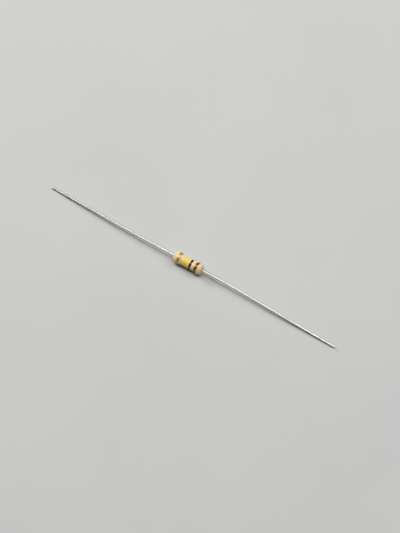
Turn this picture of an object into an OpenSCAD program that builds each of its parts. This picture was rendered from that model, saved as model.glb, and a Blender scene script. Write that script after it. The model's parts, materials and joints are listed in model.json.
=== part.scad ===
// Axial film resistor: a ceramic rod with a helically trimmed film, two pressed end caps with
// welded wire leads, a dog-bone coat of lacquer and four printed colour bands.
// Millimetres. The rod lies along X, and Z = 0 is the surface that the resistor lies on.

/* [Ceramic core] */
// Diameter of the ceramic rod
core_d = 1.45; // [1.35:0.05:1.6]
// Length of the ceramic rod
core_len = 5; // [4.8:0.1:5.8]
// Chamfer round each end of the rod
core_chamfer = 0.08; // [0.04:0.01:0.12]

/* [Film] */
// Thickness of the film, drawn thicker than the few microns of a real one
film_t = 0.03; // [0.02:0.005:0.05]
// Whole turns of the helical cut that trims the film
trim_turns = 5; // [3:1:6]
// Advance of the cut along the rod in one turn
trim_pitch = 0.55; // [0.4:0.01:0.58]
// Width of the cut
trim_w = 0.15; // [0.08:0.01:0.2]

/* [End caps] */
// Thickness of the caps' sheet steel
cap_wall = 0.13; // [0.1:0.01:0.16]
// Outside length of a cap
cap_len = 0.85; // [0.75:0.05:0.9]
// Outer radius of the bend between a cap's end and its side
cap_corner = 0.18; // [0.12:0.02:0.22]

/* [Lacquer coat] */
// Thickness of the coat over the film, at the waist
waist_cover = 0.19; // [0.16:0.01:0.25]
// Thickness of the coat over the left cap, at the bulge's crest
left_cover = 0.27; // [0.22:0.01:0.34]
// Thickness of the coat over the right cap, at the bulge's crest
right_cover = 0.27; // [0.22:0.01:0.34]
// Thickness of the coat over each cap's flat end
end_cover = 0.43; // [0.36:0.01:0.5]
// Radius of the rounded left end, from its crest to its tip
left_dome = 1.04; // [0.8:0.02:1.1]
// Radius of the rounded right end, from its crest to its tip
right_dome = 0.82; // [0.64:0.02:0.94]
// Radius of the left bulge's crest on the side of the waist
left_crest_blend = 2.1; // [1:0.05:2.5]
// Radius of the hollow between the left bulge and the waist
left_waist_blend = 0.5; // [0.3:0.05:0.8]
// Radius of the right bulge's crest on the side of the waist
right_crest_blend = 0.5; // [0.4:0.05:0.8]
// Radius of the hollow between the right bulge and the waist
right_waist_blend = 0.4; // [0.3:0.05:0.8]
// Radius of the small fillet of lacquer where a lead leaves the coat
collar_fillet = 0.09; // [0.05:0.01:0.1]
// Thickness of the lacquer at that fillet's edge
collar_lip = 0.02; // [0.01:0.005:0.03]

/* [Leads] */
// Diameter of the wire
lead_d = 0.45; // [0.4:0.01:0.48]
// Length of each lead along the wire, from the rounded end to the tip
lead_len = 28; // [20:0.5:32]
// Straight run of the left lead before its bend
left_stub = 3.5; // [2:0.5:8]
// Straight run of the right lead before its bend
right_stub = 3; // [2:0.5:8]
// Share of the left lead past that run that bends, with the rest straight
left_bent = 0.55; // [0.1:0.05:0.8]
// Share of the right lead past that run that bends, with the rest straight
right_bent = 0.2; // [0.1:0.05:0.8]
// How far the left lead's tip stands off sideways, towards +Y
left_swing = 0.75; // [0.2:0.05:2]
// How far the right lead's tip stands off sideways, towards -Y
right_swing = 0.4; // [0.2:0.05:2]
// Chamfer round each tip
tip_chamfer = 0.05; // [0.02:0.01:0.1]
// Diameter of the weld bead against the cap
bead_d = 0.62; // [0.56:0.02:0.7]
// Length of the weld bead
bead_len = 0.2; // [0.12:0.02:0.26]

/* [Colour bands] */
// Thickness of the printed ink
ink_t = 0.02; // [0.01:0.005:0.03]
// Centre of the first band, from the right rounded end
first_inset = 1.17; // [1:0.01:1.4]
// First band's centre to second band's centre
second_pitch = 1.18; // [1:0.01:1.3]
// Second band's centre to third band's centre
third_pitch = 1; // [0.9:0.01:1.2]
// Centre of the tolerance band, from the left rounded end
last_inset = 1.3; // [1.1:0.01:1.4]
// Width of the first band
first_w = 0.64; // [0.3:0.02:0.7]
// Width of the second band
second_w = 0.46; // [0.3:0.02:0.6]
// Width of the third band
third_w = 0.84; // [0.4:0.02:0.9]
// Width of the tolerance band
last_w = 0.52; // [0.3:0.02:0.6]

/* [Fit] */
// Gap drawn between bonded round faces, so that no two pieces share volume
bond_gap = 0.005; // [0.003:0.001:0.01]

/* [Hidden] */

$fn = 72;

// Flat sides round the film, and the turn in degrees from one point of an arc to the next
film_sides = 32;
arc_step = 6;

// How much thicker a lead's bend is than its straight runs, and how far those enter it
bend_swell = 0.004;
bend_entry = 0.02;

core_r = core_d / 2;
film_r = core_r + bond_gap + film_t;
cap_bore_r = film_r + bond_gap;
cap_r = cap_bore_r + cap_wall;
lead_r = lead_d / 2;
bead_r = bead_d / 2;

// Places along the rod, measured from its middle
cap_seat = core_len / 2;
cap_face = cap_seat + cap_wall;
cap_rim = cap_face - cap_len;
body_end = cap_face + end_cover;

// The bulges lift the rod to this height, with the ink of a band on each, and each lead's tip comes
// down to the surface
waist_r = film_r + waist_cover;
left_crest_r = cap_r + left_cover;
right_crest_r = cap_r + right_cover;
axis_z = max(left_crest_r, right_crest_r) + ink_t;
lead_drop = axis_z - lead_r;

// A profile point is [radius, place along the rod]

// Points along an arc, with angles from the radius towards the rod's +X end
function arc(centre, r, from, to) =
    let (steps = ceil(abs(to - from) / arc_step))
    [for (i = [0:steps]) let (a = from + (to - from) * i / steps) centre + r * [cos(a), sin(a)]];

function reversed(points) = [for (i = [len(points) - 1:-1:0]) points[i]];

// The same profile on the rod's other end, run the other way
function other_end(points) = [for (p = reversed(points)) [p[0], -p[1]]];

// Outside of the coat from the waist to the lead: a hollow, a crest, a dome and the fillet at the lead
// in tangent arcs. grow moves it outwards.
function skin(crest_r, dome, crest_blend, waist_blend, grow) =
    let (
        rise = crest_r - waist_r,
        blends = crest_blend + waist_blend,
        run = sqrt(2 * rise * blends - rise * rise),
        turn = atan2(run, blends - rise),
        crest = body_end - dome,
        dome_r = crest_r - dome,
        fillet_r = lead_r + bond_gap + collar_lip + collar_fillet,
        inwards = fillet_r - dome_r,
        along = sqrt(pow(dome + collar_fillet, 2) - inwards * inwards),
        meeting = atan2(along, inwards)
    )
    concat(
        arc([waist_r + waist_blend, crest - run], waist_blend - grow, 180, 180 - turn),
        arc([crest_r - crest_blend, crest], crest_blend + grow, -turn, 0),
        arc([dome_r, crest], dome + grow, 0, meeting),
        arc([fillet_r, crest + along], collar_fillet - grow, 180 + meeting, 180)
    );

function whole_skin(grow) = concat(
    other_end(skin(left_crest_r, left_dome, left_crest_blend, left_waist_blend, grow)),
    skin(right_crest_r, right_dome, right_crest_blend, right_waist_blend, grow)
);

// Outside of a cap from its rim to the weld bead. grow moves it outwards.
function cap_outside(grow) = concat(
    [[cap_r + grow, cap_rim - grow]],
    arc([cap_r - cap_corner, cap_face - cap_corner], cap_corner + grow, 0, 90)
);

// Inside of the coat from the waist to the lead, clear of the film, the cap, the bead and the wire
function cavity(lip) = concat(
    [[film_r + bond_gap, cap_rim - bond_gap]],
    cap_outside(bond_gap),
    [
        [bead_r + bond_gap, cap_face + bond_gap],
        [lead_r + bond_gap, cap_face + bead_len + bond_gap],
        [lead_r + bond_gap, lip]
    ]
);

// Turns a profile about the rod's axis, at the height where the resistor lies
module turned() {
    translate([0, 0, axis_z])
        rotate([0, 90, 0])
            rotate_extrude()
                children();
}

module ceramic_core() {
    color("white")
        turned()
            polygon([
                [0, -cap_seat],
                [core_r - core_chamfer, -cap_seat],
                [core_r, -cap_seat + core_chamfer],
                [core_r, cap_seat - core_chamfer],
                [core_r - core_chamfer, cap_seat],
                [0, cap_seat]
            ]);
}

// Each face as a fan of triangles from its first point
function fans(faces) = [for (f = faces) for (i = [1:len(f) - 2]) [f[0], f[i], f[i + 1]]];

// The same face seen from its back, with its first point kept
function back(face) = [for (i = [len(face):-1:1]) face[i % len(face)]];

// A tube with a helical cut through its wall. The cut's two edges run along one list of stations, and
// the metal between its turns joins the plain rings at the tube's ends.
module trimmed_tube(r, wall, half_len, turns, pitch, cut_w, sides) {
    last = turns * sides;
    rings = 2 * (last + 1);
    layer = rings + 2 * sides;
    outer_r = r;
    inner_r = (r - wall) / cos(180 / sides);
    function station(radius, i, z) = [radius * cos(360 * i / sides), radius * sin(360 * i / sides), z];
    function cut_z(i, side) = pitch * (i / sides - turns / 2) + side * cut_w / 2;
    function low(i) = i;
    function high(i) = last + 1 + i;
    function bottom(i) = rings + i % sides;
    function top(i) = rings + sides + i % sides;
    function sunk(face) = [for (v = back(face)) v + layer];
    function step_up(v, w) = [v + layer, w + layer, w, v];
    function step_down(v, w) = [v, w, w + layer, v + layer];
    points = [
        for (radius = [outer_r, inner_r]) each concat(
            [for (side = [-1, 1]) for (i = [0:last]) station(radius, i, cut_z(i, side))],
            [for (end = [-1, 1]) for (i = [0:sides - 1]) station(radius, i, end * half_len)]
        )
    ];
    wall_faces = concat(
        [for (i = [0:sides - 2]) [bottom(i), low(i), low(i + 1), bottom(i + 1)]],
        [[bottom(sides - 1), low(sides - 1), low(sides), high(0), low(0), bottom(0)]],
        [for (i = [0:last - sides - 1]) [high(i), low(i + sides), low(i + 1 + sides), high(i + 1)]],
        [[top(1), high(last - sides + 1), high(last - sides), low(last), high(last), top(0)]],
        [for (i = [last - sides + 1:last - 1]) [high(i), top(i), top(i + 1), high(i + 1)]]
    );
    edge_faces = concat(
        [for (i = [0:last - 1]) each [step_up(low(i), low(i + 1)), step_down(high(i), high(i + 1))]],
        [for (i = [0:sides - 1]) each [step_down(bottom(i), bottom(i + 1)), step_up(top(i), top(i + 1))]],
        [step_down(low(0), high(0)), step_up(low(last), high(last))]
    );
    polyhedron(points, fans(concat(wall_faces, [for (f = wall_faces) sunk(f)], edge_faces)));
}

module carbon_film() {
    color("dimgray")
        translate([0, 0, axis_z])
            rotate([0, 90, 0])
                trimmed_tube(
                    film_r, film_t, cap_seat - core_chamfer, trim_turns, trim_pitch, trim_w, film_sides
                );
}

// A pressed cup with its closed end outwards
module end_cap() {
    color("silver")
        turned()
            polygon(concat(
                [[cap_bore_r, cap_seat], [cap_bore_r, cap_rim]],
                cap_outside(0),
                [[0, cap_face], [0, cap_seat]]
            ));
}

module end_cap_left() {
    mirror([1, 0, 0])
        end_cap();
}

module end_cap_right() {
    end_cap();
}

// The bend that brings a lead's tip a given distance off the rod's axis, found by a few repeats. Of
// the wire that is left, the length called bent is the arc and the rest runs on straight.
function bend_angle(off_axis, wire, bent, a = 1, repeats = 6) =
    let (arc = a * PI / 180, arc_off = bent * (1 - cos(a)) / arc, run_off = (wire - bent) * sin(a))
    repeats == 0 ? a : bend_angle(off_axis, wire, bent, a * off_axis / (arc_off + run_off), repeats - 1);

// A straight run of wire along X, from points of its half section
module straight_wire(points) {
    rotate([0, 90, 0])
        rotate_extrude()
            polygon(points);
}

// A wire welded to the cap's end: straight through the coat, bent once, then straight to its tip.
// The bend is a hair thicker than the runs, which enter its two ends.
module lead(stub, bent_share, swing) {
    stub_end = body_end + stub;
    wire = lead_len - stub;
    bent = wire * bent_share;
    bend = bend_angle(norm([lead_drop, swing]), wire, bent);
    bend_r = bent / (bend * PI / 180);
    tip = wire - bent;
    color("gainsboro")
        translate([0, 0, axis_z])
            rotate([atan2(swing, lead_drop), 0, 0]) {
                straight_wire([
                    [0, cap_face],
                    [bead_r, cap_face],
                    [lead_r, cap_face + bead_len],
                    [lead_r, stub_end + bend_entry],
                    [0, stub_end + bend_entry]
                ]);
                translate([stub_end, 0, -bend_r]) {
                    rotate([-90, -90, 0])
                        rotate_extrude(angle = bend)
                            translate([bend_r, 0])
                                circle(r = lead_r + bend_swell);
                    rotate([0, bend, 0])
                        translate([0, 0, bend_r])
                            straight_wire([
                                [0, -bend_entry],
                                [lead_r, -bend_entry],
                                [lead_r, tip - tip_chamfer],
                                [lead_r - tip_chamfer, tip],
                                [0, tip]
                            ]);
                }
            }
}

module lead_left() {
    mirror([1, 0, 0])
        lead(left_stub, left_bent, left_swing);
}

module lead_right() {
    lead(right_stub, right_bent, -right_swing);
}

module lacquer_coat() {
    outside = whole_skin(0);
    left_lip = outside[0][1];
    right_lip = outside[len(outside) - 1][1];
    color("burlywood")
        turned()
            polygon(concat(outside, reversed(cavity(right_lip)), reversed(other_end(cavity(-left_lip)))));
}

// A ring of ink on the coat, following its curves
module band(centre, width) {
    turned()
        difference() {
            intersection() {
                outline(ink_t);
                translate([0, centre - width / 2])
                    square([2 * axis_z, width]);
            }
            outline(0);
        }
}

// The coat's outside as a filled half section. grow moves it outwards.
module outline(grow) {
    skin_points = whole_skin(grow);
    last_point = skin_points[len(skin_points) - 1];
    polygon(concat([[0, skin_points[0][1]]], skin_points, [[0, last_point[1]]]));
}

module band_brown() {
    color("saddlebrown")
        band(body_end - first_inset, first_w);
}

module band_black() {
    color("black")
        band(body_end - first_inset - second_pitch, second_w);
}

module band_yellow() {
    color("gold")
        band(body_end - first_inset - second_pitch - third_pitch, third_w);
}

module band_gold() {
    color("darkgoldenrod")
        band(last_inset - body_end, last_w);
}

ceramic_core();
carbon_film();
end_cap_left();
end_cap_right();
lead_left();
lead_right();
lacquer_coat();
band_brown();
band_black();
band_yellow();
band_gold();
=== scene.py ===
import json
import math
from bisect import bisect_right

import bmesh
import bpy
from mathutils import Matrix, Vector, noise


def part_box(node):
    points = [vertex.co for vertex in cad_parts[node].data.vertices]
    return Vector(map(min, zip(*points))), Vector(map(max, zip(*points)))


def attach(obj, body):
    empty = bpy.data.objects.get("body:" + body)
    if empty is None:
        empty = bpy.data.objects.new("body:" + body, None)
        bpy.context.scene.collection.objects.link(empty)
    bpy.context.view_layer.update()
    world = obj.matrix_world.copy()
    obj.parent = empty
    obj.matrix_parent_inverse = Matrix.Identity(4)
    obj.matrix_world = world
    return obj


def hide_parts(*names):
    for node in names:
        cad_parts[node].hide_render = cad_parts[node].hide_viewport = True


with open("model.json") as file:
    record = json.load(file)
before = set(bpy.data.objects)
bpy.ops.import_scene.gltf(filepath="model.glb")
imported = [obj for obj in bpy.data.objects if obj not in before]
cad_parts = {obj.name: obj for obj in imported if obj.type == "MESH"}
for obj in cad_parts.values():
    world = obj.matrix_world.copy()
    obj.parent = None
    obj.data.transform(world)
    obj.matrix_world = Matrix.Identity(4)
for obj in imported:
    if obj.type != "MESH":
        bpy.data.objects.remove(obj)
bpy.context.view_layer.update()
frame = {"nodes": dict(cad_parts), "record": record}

# An axial film resistor lying on a pale floor. Everything is in metres in the CAD frame: the rod
# lies along X and Z = 0 is the floor. MM turns millimetres into metres.
MM = 0.001

# The rod's axis and the outer face of the caps, read from the CAD
coat_low, coat_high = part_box("lacquer_coat")
AXIS_Z = (coat_low.z + coat_high.z) / 2
CAP_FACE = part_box("end_cap_right")[1].x

# Reading a turned CAD piece: the decimals kept of a length in metres, the distance up to which two
# points are one, and how much a normal leans outwards or towards the end on the piece's outside
LENGTH_DECIMALS = 7
SAME_POINT = 0.002 * MM
LEANS_OUT = 0.1
LEANS_TO_END = 0.5

# Lacquer: points round the body, the longest stretch between its rings, how far dipping left it
# short of its full radius at most, and how far apart those dips are
COAT_SIDES = 64
COAT_STEP = 0.07 * MM
SAG = 0.022 * MM
SAG_SPAN = 1.3 * MM

# Ink: points round a band and steps across it, its full thickness and how deep it sits in the coat,
# the share of its thickness that is left at its edges, and the power by which it falls to them
INK_SIDES = 128
INK_STEPS = 10
INK_T = 0.02 * MM
INK_ROOT = 0.004 * MM
INK_EDGE = 0.4
INK_FALL = 4

# Ink edges: how far they wander, how quickly, and how far apart in the noise a band's two edges are
WAVE = 0.014 * MM
WAVE_RATE = 2
WAVES_APART = 3

# How far to either side the coat's slope under the ink is measured
SLOPE_REACH = 0.01 * MM

# Wires: points round them, the longest stretch between their rings, the weld bead under the lacquer
# and the steps in the bend
WIRE_SIDES = 32
WIRE_STEP = 0.6 * MM
BEAD_R = 0.31 * MM
BEAD_LEN = 0.2 * MM
BEND_STEPS = 24

# Wire tips: the slant of the sheared face, and the pinch before it, as the distance from the tip in
# millimetres with the shares of the wire's width and height that are left there
SHEAR_TILT = math.radians(7)
SHEAR_PINCH = [
    (0.3, 1.0, 1.0), (0.12, 0.99, 0.98), (0.05, 0.97, 0.93), (0.02, 0.92, 0.86), (0.0, 0.8, 0.72)
]


# ---------------------------------------------------------------- profiles read from the CAD

def lathe_profile(name, outside):
    """The (x, radius) points of a turned CAD piece, from its left end to its right end."""
    rings = {}
    for v in frame["nodes"][name].data.vertices:
        arm = Vector((0, v.co.y, v.co.z - AXIS_Z))
        to_end = v.normal.x * math.copysign(1, v.co.x)
        faces_out = v.normal.dot(arm.normalized()) > LEANS_OUT
        faces_end = to_end > LEANS_TO_END and abs(v.co.x) > CAP_FACE
        if (faces_out or faces_end) == outside:
            radii = rings.setdefault(round(v.co.x, LENGTH_DECIMALS), set())
            radii.add(round(arm.length, LENGTH_DECIMALS))
    points = []
    for x in sorted(rings):
        last = points[-1][1] if points else 0
        for radius in sorted(rings[x], key=lambda r: abs(r - last)):
            if not points or math.dist(points[-1], (x, radius)) > SAME_POINT:
                points.append((x, radius))
    return points


def filled(points, longest):
    """The same points with more between those that lie further apart than longest."""
    made = [points[0]]
    for start, end in zip(points, points[1:]):
        steps = max(1, math.ceil(math.dist(start, end) / longest))
        for i in range(1, steps + 1):
            made.append(tuple(a + (b - a) * i / steps for a, b in zip(start, end)))
    return made


COAT_OUTSIDE = filled(lathe_profile("lacquer_coat", True), COAT_STEP)
COAT_INSIDE = lathe_profile("lacquer_coat", False)
COAT_PLACES = [x for x, radius in COAT_OUTSIDE]
CREST_R = max(radius for x, radius in COAT_OUTSIDE)


def coat_radius(x):
    """Outside radius of the coat at a place along the rod."""
    i = min(max(bisect_right(COAT_PLACES, x), 1), len(COAT_PLACES) - 1)
    (x0, r0), (x1, r1) = COAT_OUTSIDE[i - 1], COAT_OUTSIDE[i]
    return r0 + (r1 - r0) * (x - x0) / (x1 - x0)


def sag(x, radius, angle):
    """How far the dipped lacquer falls short of its full radius, least near the wire."""
    spot = Vector((x / SAG_SPAN, math.cos(angle), math.sin(angle)))
    return SAG * (0.5 + 0.5 * noise.noise(spot)) * radius / CREST_R


def round_axis(x, radius, angle):
    """A point at a radius and an angle round the rod's axis."""
    return Vector((x, radius * math.cos(angle), AXIS_Z + radius * math.sin(angle)))


def turn_angles(sides):
    """Evenly spaced angles once round."""
    return [2 * math.pi * i / sides for i in range(sides)]


# ---------------------------------------------------------------- meshes

def linked(name, data):
    """A new object in the scene that holds a mesh, a lamp or a camera."""
    thing = bpy.data.objects.new(name, data)
    bpy.context.scene.collection.objects.link(thing)
    return thing


def skinned(name, rings, closed):
    """A mesh over rings of points, each joined to the next. closed also joins the last ring to the
    first, and otherwise each end is closed with a face."""
    mesh = bmesh.new()
    verts = [[mesh.verts.new(p) for p in ring] for ring in rings]
    sides = len(rings[0])
    pairs = list(zip(verts, verts[1:])) + ([(verts[-1], verts[0])] if closed else [])
    for low, high in pairs:
        for i in range(sides):
            j = (i + 1) % sides
            mesh.faces.new((low[i], low[j], high[j], high[i]))
    if not closed:
        mesh.faces.new(reversed(verts[0]))
        mesh.faces.new(verts[-1])
    bmesh.ops.recalc_face_normals(mesh, faces=mesh.faces)
    for face in mesh.faces:
        face.smooth = True
    data = bpy.data.meshes.new(name)
    mesh.to_mesh(data)
    mesh.free()
    return linked(name, data)


def lacquer_piece():
    """The dog-bone coat: its uneven outside, and the inside that fits caps, film and wires."""
    angles = turn_angles(COAT_SIDES)
    outside = [[round_axis(x, r - sag(x, r, a), a) for a in angles] for x, r in COAT_OUTSIDE]
    inside = [[round_axis(x, r, a) for a in angles] for x, r in reversed(COAT_INSIDE)]
    piece = skinned("lacquer", outside + inside, closed=True)
    hold_edges(piece, len(outside) * COAT_SIDES)
    smoother = piece.modifiers.new("smooth", "SUBSURF")
    smoother.levels = smoother.render_levels = 1
    return piece


def hold_edges(piece, first):
    """Creases every edge between vertices from first on, so that smoothing leaves them in place."""
    creases = piece.data.attributes.new("crease_edge", "FLOAT", "EDGE")
    for edge in piece.data.edges:
        creases.data[edge.index].value = 1.0 if min(edge.vertices) >= first else 0.0


def ink_piece(name, node):
    """A printed ring that follows the coat, thinner and slightly wavy at its two edges."""
    low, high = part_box(node)
    middle, half = (low.x + high.x) / 2, (high.x - low.x) / 2
    angles = turn_angles(INK_SIDES)

    def place(share, angle):
        edge = middle / MM + math.copysign(WAVES_APART, share)
        spot = Vector((edge, WAVE_RATE * math.cos(angle), WAVE_RATE * math.sin(angle)))
        return middle + share * (half - WAVE * (0.5 + 0.5 * noise.noise(spot)))

    def point(share, angle, lift):
        x = place(share, angle)
        climb = coat_radius(x + SLOPE_REACH) - coat_radius(x - SLOPE_REACH)
        slope = math.atan2(climb, 2 * SLOPE_REACH)
        radius = coat_radius(x)
        rise = radius - sag(x, radius, angle) + lift * math.cos(slope)
        return round_axis(x - lift * math.sin(slope), rise, angle)

    def thickness(share):
        return INK_T * (INK_EDGE + (1 - INK_EDGE) * (1 - share ** INK_FALL))

    shares = [-math.cos(math.pi * i / INK_STEPS) for i in range(INK_STEPS + 1)]
    top = [[point(s, a, thickness(s)) for a in angles] for s in shares]
    root = [[point(s, a, -INK_ROOT) for a in angles] for s in reversed(shares)]
    return skinned(name, top + root, closed=True)


def wire_route(node, mount):
    """Centre line of a wire: straight out of the cap, one gentle bend, then straight to its tip.
    The mount is the middle of that last straight run."""
    out = Vector(mount["axis"]).normalized()
    spot = Vector(mount["pos_m"])
    side = math.copysign(1, spot.x)
    start = Vector((side * CAP_FACE, 0, AXIS_Z))
    reach = max((v.co - spot).dot(out) for v in frame["nodes"][node].data.vertices)
    tip = spot + out * reach
    leave = spot - out * reach
    corner = spot - out * (spot.y / out.y)
    enter = corner - Vector((side * (leave - corner).length, 0, 0))
    steps = [i / BEND_STEPS for i in range(1, BEND_STEPS)]
    curve = [enter * (1 - t) ** 2 + corner * 2 * t * (1 - t) + leave * t ** 2 for t in steps]
    return [start, start + Vector((side * BEAD_LEN, 0, 0)), enter, *curve, leave, tip]


def wire_piece(name, node, mount):
    """A tinned wire with its weld bead inside the coat and a sheared, slightly pinched tip."""
    route = [tuple(p) for p in wire_route(node, mount)]
    radius = mount["dims"]["r_mm"] * MM
    out = (Vector(route[-1]) - Vector(route[-2])).normalized()
    tip = Vector(route[-1]) - out * (radius * math.tan(SHEAR_TILT))
    shear = [tip - out * (back * MM) for back, wide, tall in SHEAR_PINCH]
    path = [Vector(p) for p in filled(route[:-1] + [tuple(shear[0])], WIRE_STEP)] + shear[1:]
    last = len(path) - 1
    squeeze = {len(path) - len(shear) + i: pinch[1:] for i, pinch in enumerate(SHEAR_PINCH)}
    rings = []
    for i, centre in enumerate(path):
        along = (path[min(i + 1, last)] - path[max(i - 1, 0)]).normalized()
        level = along.cross(Vector((0, 0, 1))).normalized()
        upright = level.cross(along)
        wide, tall = squeeze.get(i, (1, 1))
        size = BEAD_R if i == 0 else radius
        tilt = math.tan(SHEAR_TILT) if i >= last - 1 else 0
        rings.append([
            centre
            + level * (size * wide * math.cos(a))
            + upright * (size * tall * math.sin(a))
            + along * (size * tilt * math.cos(a))
            for a in turn_angles(WIRE_SIDES)
        ])
    return skinned(name, rings, closed=False)


# ---------------------------------------------------------------- materials

def rgb(red, green, blue):
    return (red, green, blue, 1.0)


# Colours, each with the tone that its blotches go over into
TAN = rgb(0.86, 0.64, 0.34), rgb(0.80, 0.61, 0.29)
BROWN = rgb(0.036, 0.010, 0.001), rgb(0.056, 0.019, 0.002)
BLACK = rgb(0.006, 0.003, 0.002), rgb(0.014, 0.008, 0.004)
YELLOW = rgb(0.82, 0.62, 0.11), rgb(0.78, 0.57, 0.09)
GOLD = rgb(0.50, 0.365, 0.11), rgb(0.33, 0.23, 0.06)
TIN = rgb(0.61, 0.61, 0.59), rgb(0.51, 0.51, 0.49)
STEEL = rgb(0.62, 0.61, 0.59), rgb(0.50, 0.49, 0.47)
CERAMIC = rgb(0.84, 0.83, 0.79), rgb(0.74, 0.72, 0.68)
CARBON = rgb(0.035, 0.035, 0.038), rgb(0.075, 0.072, 0.07)
FLOOR = rgb(0.56, 0.56, 0.55), rgb(0.54, 0.54, 0.535)

# The lacquer's specks, the warm tone of the glare on ink, and the floor where no lamp lights it
TAN_SPECK = rgb(0.70, 0.50, 0.25)
INK_GLARE = rgb(1.0, 0.74, 0.38)
UNLIT = rgb(0.0, 0.0, 0.0)

# Orange peel of the dipped coat: ripples to the millimetre, their depth, and their depth under ink
PEEL_PER_MM = 3.5
PEEL = 0.010 * MM
INKED_PEEL = 0.007 * MM

# Roughness of matt ink, from its smoothest to its roughest spots, and how much full gloss takes off
MATT_INK = (0.46, 0.54)
GLOSS_GAIN = 0.28

# The floor's roughness, and how far from the resistor it starts to go over into the backdrop's tone
# and where it has
FLOOR_ROUGH = 0.9
LIT_FLOOR = (0.04, 0.3)

BACKDROP = rgb(1.0, 1.0, 0.985)
BACKDROP_STRENGTH = 0.61


class Nodes:
    """The node tree of one new material, with a short call for each kind of node that is used."""

    def __init__(self, name):
        self.material = bpy.data.materials.new(name)
        self.material.use_nodes = True
        self.tree = self.material.node_tree
        self.shader = self.tree.nodes["Principled BSDF"]

    def add(self, kind, settings=(), inputs=()):
        node = self.tree.nodes.new(kind)
        for key, value in dict(settings).items():
            setattr(node, key, value)
        for key, value in dict(inputs).items():
            self.feed(node.inputs[key], value)
        return node

    def feed(self, socket, value):
        if isinstance(value, bpy.types.NodeSocket):
            self.tree.links.new(value, socket)
        else:
            socket.default_value = value

    def places(self):
        """Places on the piece in metres."""
        return self.add("ShaderNodeTexCoord").outputs["Object"]

    def millimetres(self, stretch=(1, 1, 1)):
        """Places in millimetres, stretched to lengthen or shorten what is drawn there."""
        inputs = {"Vector": self.places(), "Scale": [share / MM for share in stretch]}
        return self.add("ShaderNodeMapping", inputs=inputs).outputs["Vector"]

    def grain(self, where, per_unit, detail=2, rough=0.5):
        """Noise with about per_unit blotches to each unit of where."""
        inputs = {"Vector": where, "Scale": per_unit, "Detail": detail, "Roughness": rough}
        return self.add("ShaderNodeTexNoise", inputs=inputs).outputs["Fac"]

    def between(self, fac, low, high, from_low=0.3, from_high=0.7, ease="LINEAR"):
        """A range of fac, the noise's middle if not given, spread from low to high."""
        source = {"Value": fac, "From Min": from_low, "From Max": from_high}
        inputs = {**source, "To Min": low, "To Max": high}
        settings = {"interpolation_type": ease}
        return self.add("ShaderNodeMapRange", settings, inputs).outputs["Result"]

    def math(self, operation, first, second):
        """One number worked out of two."""
        settings = {"operation": operation}
        return self.add("ShaderNodeMath", settings, {0: first, 1: second}).outputs["Value"]

    def blend(self, fac, first, second):
        """One colour going into another as fac goes from 0 to 1."""
        inputs = {"Factor": fac, "A": first, "B": second}
        return self.add("ShaderNodeMix", {"data_type": "RGBA"}, inputs).outputs["Result"]

    def bump(self, height, depth, under=None):
        """Relief of the given depth in metres, laid over an earlier one."""
        inputs = {"Height": height, "Distance": depth, "Strength": 1.0}
        if under is not None:
            inputs["Normal"] = under
        return self.add("ShaderNodeBump", inputs=inputs).outputs["Normal"]

    def shade(self, **inputs):
        """Sets the shader's own sockets, with underscores in names for spaces."""
        for key, value in inputs.items():
            self.feed(self.shader.inputs[key.replace("_", " ")], value)
        return self.material


def lacquer_material():
    """Tan lacquer: a soft gloss, slightly blotchy, with the faint orange peel of a dipped coat."""
    n = Nodes("tan_lacquer")
    where = n.millimetres()
    blotches = n.between(n.grain(where, 0.9, detail=3), 0, 1)
    specks = n.between(n.grain(where, 14), 0, 0.35, from_low=0.5, from_high=0.75)
    colour = n.blend(specks, n.blend(blotches, *TAN), TAN_SPECK)
    rough = n.between(n.grain(where, 2.5), 0.40, 0.50)
    peel = n.bump(n.grain(where, PEEL_PER_MM), PEEL)
    fine = n.bump(n.grain(where, 16), 0.0012 * MM, peel)
    return n.shade(Base_Color=colour, Roughness=rough, Normal=fine, Specular_IOR_Level=0.45)


def ink_material(name, tones, gloss, shine, ior=1.5):
    """Printed ink that covers a little unevenly, over the coat's own relief. gloss makes its
    highlights sharp, and shine and ior make them strong."""
    n = Nodes(name)
    where = n.millimetres()
    cover = n.between(n.grain(where, 5, detail=3), 0, 1, from_low=0.35, from_high=0.75)
    rough = n.between(n.grain(where, 3), *(matt - GLOSS_GAIN * gloss for matt in MATT_INK))
    peel = n.bump(n.grain(where, PEEL_PER_MM), INKED_PEEL)
    fine = n.bump(n.grain(where, 22), 0.001 * MM, peel)
    n.shade(IOR=ior, Specular_IOR_Level=shine, Specular_Tint=INK_GLARE)
    return n.shade(Base_Color=n.blend(cover, *tones), Roughness=rough, Normal=fine)


def gold_material():
    """Metallic tolerance ink: bronze flakes in a clear binder, dark where it mirrors nothing."""
    n = Nodes("gold_ink")
    where = n.millimetres()
    flakes = n.grain(where, 28, rough=0.7)
    colour = n.blend(n.between(flakes, 0, 1), *GOLD)
    rough = n.between(n.grain(where, 12), 0.42, 0.54)
    peel = n.bump(n.grain(where, PEEL_PER_MM), PEEL)
    glitter = n.bump(flakes, 0.002 * MM, peel)
    n.shade(Metallic=0.85, Coat_Weight=1.0, Coat_Roughness=0.28)
    return n.shade(Base_Color=colour, Roughness=rough, Normal=glitter)


def wire_material():
    """Tinned copper wire: bright, with faint drawing lines and duller, thicker patches of tin."""
    n = Nodes("tinned_wire")
    patches = n.grain(n.millimetres(), 1.4, detail=3)
    lines = n.grain(n.millimetres((0.06, 1, 1)), 14, detail=3, rough=0.6)
    rough = n.between(n.grain(n.millimetres((0.3, 1, 1)), 3, detail=3), 0.24, 0.38)
    drawn = n.bump(lines, 0.0016 * MM, n.bump(patches, 0.004 * MM))
    colour = n.blend(n.between(patches, 0, 1), *TIN)
    return n.shade(Base_Color=colour, Roughness=rough, Normal=drawn, Metallic=1.0)


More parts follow.
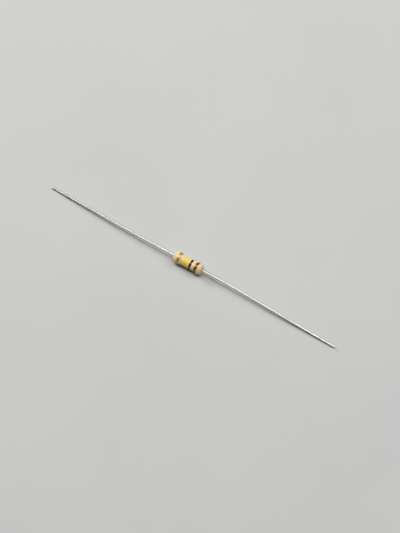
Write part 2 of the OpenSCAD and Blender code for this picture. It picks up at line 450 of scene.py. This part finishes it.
def cap_material():
    """Pressed steel cup: satin, with fine marks running round it from the press."""
    n = Nodes("cap_steel")
    marks = n.grain(n.millimetres((6, 1, 1)), 5, detail=4, rough=0.6)
    rough = n.between(n.grain(n.millimetres(), 4, detail=3), 0.28, 0.45)
    pressed = n.bump(marks, 0.002 * MM)
    colour = n.blend(n.between(marks, 0, 1), *STEEL)
    return n.shade(Base_Color=colour, Roughness=rough, Normal=pressed, Metallic=1.0)


def ceramic_material():
    """Unglazed white ceramic with a fine, slightly speckled grain."""
    n = Nodes("white_ceramic")
    where = n.millimetres()
    grit = n.grain(where, 22, detail=4, rough=0.65)
    rough = n.between(grit, 0.6, 0.8)
    colour = n.blend(n.between(n.grain(where, 4, detail=4), 0, 1), *CERAMIC)
    return n.shade(Base_Color=colour, Roughness=rough, Normal=n.bump(grit, 0.004 * MM))


def film_material():
    """Carbon film: nearly black, with the faint sheen and pinholes of a baked deposit."""
    n = Nodes("carbon_film")
    where = n.millimetres()
    rough = n.between(n.grain(where, 9, detail=3), 0.35, 0.55)
    pinholes = n.bump(n.grain(where, 26, detail=3), 0.0015 * MM)
    colour = n.blend(n.between(n.grain(where, 3, detail=4, rough=0.6), 0, 1), *CARBON)
    return n.shade(Base_Color=colour, Roughness=rough, Normal=pinholes)


def floor_material():
    """Plain pale floor with a barely visible tone. The lamps light it near the resistor, and beyond
    it goes over into the backdrop's tone, so that it looks even from every side."""
    n = Nodes("pale_floor")
    where = n.places()
    lit = n.blend(n.between(n.grain(where, 30, detail=3), 0, 1), *FLOOR)
    reach = n.add("ShaderNodeVectorMath", {"operation": "LENGTH"}, {"Vector": where})
    far = n.between(reach.outputs["Value"], 0, 1, *LIT_FLOOR, ease="SMOOTHSTEP")
    path = n.add("ShaderNodeLightPath").outputs
    shown = n.math("MAXIMUM", path["Is Camera Ray"], path["Is Glossy Ray"])
    glow = n.math("MULTIPLY", far, n.between(shown, 0, BACKDROP_STRENGTH, 0, 1))
    n.shade(Base_Color=n.blend(far, lit, UNLIT), Roughness=FLOOR_ROUGH, Specular_IOR_Level=0.0)
    return n.shade(Emission_Color=BACKDROP, Emission_Strength=glow)


# ---------------------------------------------------------------- the resistor

def put(piece, material, node):
    """Dresses a piece, sets it on the fixed frame and lets it stand for its CAD node."""
    piece.data.materials.append(material)
    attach(piece, "root")
    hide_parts(node)


def redress(node, material):
    """Gives a CAD node that is shown as it is its detailed material."""
    for slot in frame["nodes"][node].material_slots:
        slot.material = material


def make_resistor():
    mounts = {m["name"]: m for m in frame["record"]["mounts"]}
    put(lacquer_piece(), lacquer_material(), "lacquer_coat")
    wire = wire_material()
    for side in ("left", "right"):
        piece = wire_piece(f"wire_{side}", f"lead_{side}", mounts[f"lead_{side}_end"])
        put(piece, wire, f"lead_{side}")
    inks = {
        "brown": ink_material("brown_ink", BROWN, gloss=0.9, shine=1.0, ior=1.68),
        "black": ink_material("black_ink", BLACK, gloss=1.2, shine=0.8),
        "yellow": ink_material("yellow_ink", YELLOW, gloss=0.2, shine=0.54),
        "gold": gold_material(),
    }
    for colour, ink in inks.items():
        put(ink_piece(f"ink_{colour}", f"band_{colour}"), ink, f"band_{colour}")
    cap = cap_material()
    redress("end_cap_left", cap)
    redress("end_cap_right", cap)
    redress("ceramic_core", ceramic_material())
    redress("carbon_film", film_material())


# ---------------------------------------------------------------- floor, light and camera

FLOOR_SIZE = 4.0
FLOOR_CELLS = 8

# Softboxes: where each stands from the resistor, its length and width, and its power in watts
SOFTBOXES = {
    "overhead": (Vector((-0.09, 0.03, 0.5)), 0.42, 0.2, 1.76),
    "left": (Vector((-0.43, 0.08, 0.25)), 0.12, 0.17, 0.97),
    "behind": (Vector((0.22, 0.25, 0.4)), 0.4, 0.3, 1.12),
}

# The world's strength as a fill on surfaces, and where metal mirrors it
FILL_STRENGTH = 0.03
MIRRORED_STRENGTH = 0.3

CAMERA_AZIMUTH = math.radians(31.25)
CAMERA_ELEVATION = math.radians(63.2)
CAMERA_DISTANCE = 214 * MM
CAMERA_LENS = 77.9
CAMERA_CLIP = (0.01, 10)

# The point that the camera aims at, from the middle of the body
AIM = Vector((1.95 * MM, 1.01 * MM, 0))


def make_floor():
    mesh = bmesh.new()
    cells = {"x_segments": FLOOR_CELLS, "y_segments": FLOOR_CELLS}
    bmesh.ops.create_grid(mesh, size=FLOOR_SIZE / 2, **cells)
    data = bpy.data.meshes.new("floor")
    mesh.to_mesh(data)
    mesh.free()
    data.materials.append(floor_material())
    linked("floor", data)


def away(azimuth, elevation):
    """Unit direction from the object towards a viewer."""
    flat = math.cos(elevation)
    return Vector((math.sin(azimuth) * flat, -math.cos(azimuth) * flat, math.sin(elevation)))


def make_softbox(name, target, place, length, width, power):
    """A rectangular lamp that faces the target, its length in line with X."""
    back = place.normalized()
    across = (Vector((0, 1, 0)) - back * back.y).normalized()
    turn = Matrix((across.cross(back), across, back)).transposed()
    lamp = bpy.data.lights.new(name, "AREA")
    lamp.shape = "RECTANGLE"
    lamp.size = length
    lamp.size_y = width
    lamp.energy = power
    linked(name, lamp).matrix_world = Matrix.LocRotScale(target + place, turn, None)


def make_world():
    """A dim even fill for the surfaces, brighter where metal mirrors it and pale to the camera."""
    world = bpy.data.worlds.new("studio")
    world.use_nodes = True
    tree = world.node_tree
    path = tree.nodes.new("ShaderNodeLightPath")
    mirrored = tree.nodes.new("ShaderNodeMapRange")
    mirrored.inputs["To Min"].default_value = FILL_STRENGTH
    mirrored.inputs["To Max"].default_value = MIRRORED_STRENGTH
    seen = tree.nodes.new("ShaderNodeMapRange")
    seen.inputs["To Max"].default_value = BACKDROP_STRENGTH
    tree.links.new(path.outputs["Is Glossy Ray"], mirrored.inputs["Value"])
    tree.links.new(path.outputs["Is Camera Ray"], seen.inputs["Value"])
    tree.links.new(mirrored.outputs["Result"], seen.inputs["To Min"])
    backdrop = tree.nodes["Background"]
    backdrop.inputs["Color"].default_value = BACKDROP
    tree.links.new(seen.outputs["Result"], backdrop.inputs["Strength"])
    bpy.context.scene.world = world


def make_camera(target):
    lens = bpy.data.cameras.new("camera")
    lens.lens = CAMERA_LENS
    lens.clip_start, lens.clip_end = CAMERA_CLIP
    toward = away(CAMERA_AZIMUTH, CAMERA_ELEVATION)
    camera = linked("camera", lens)
    camera.location = target + toward * CAMERA_DISTANCE
    camera.rotation_euler = (-toward).to_track_quat("-Z", "Y").to_euler()
    bpy.context.scene.camera = camera


make_resistor()
make_floor()
make_world()
middle = Vector(((coat_low.x + coat_high.x) / 2, (coat_low.y + coat_high.y) / 2, 0))
for name, (place, length, width, power) in SOFTBOXES.items():
    make_softbox(name, middle, place, length, width, power)
make_camera(middle + AIM)
bpy.context.scene.view_settings.view_transform = "Standard"
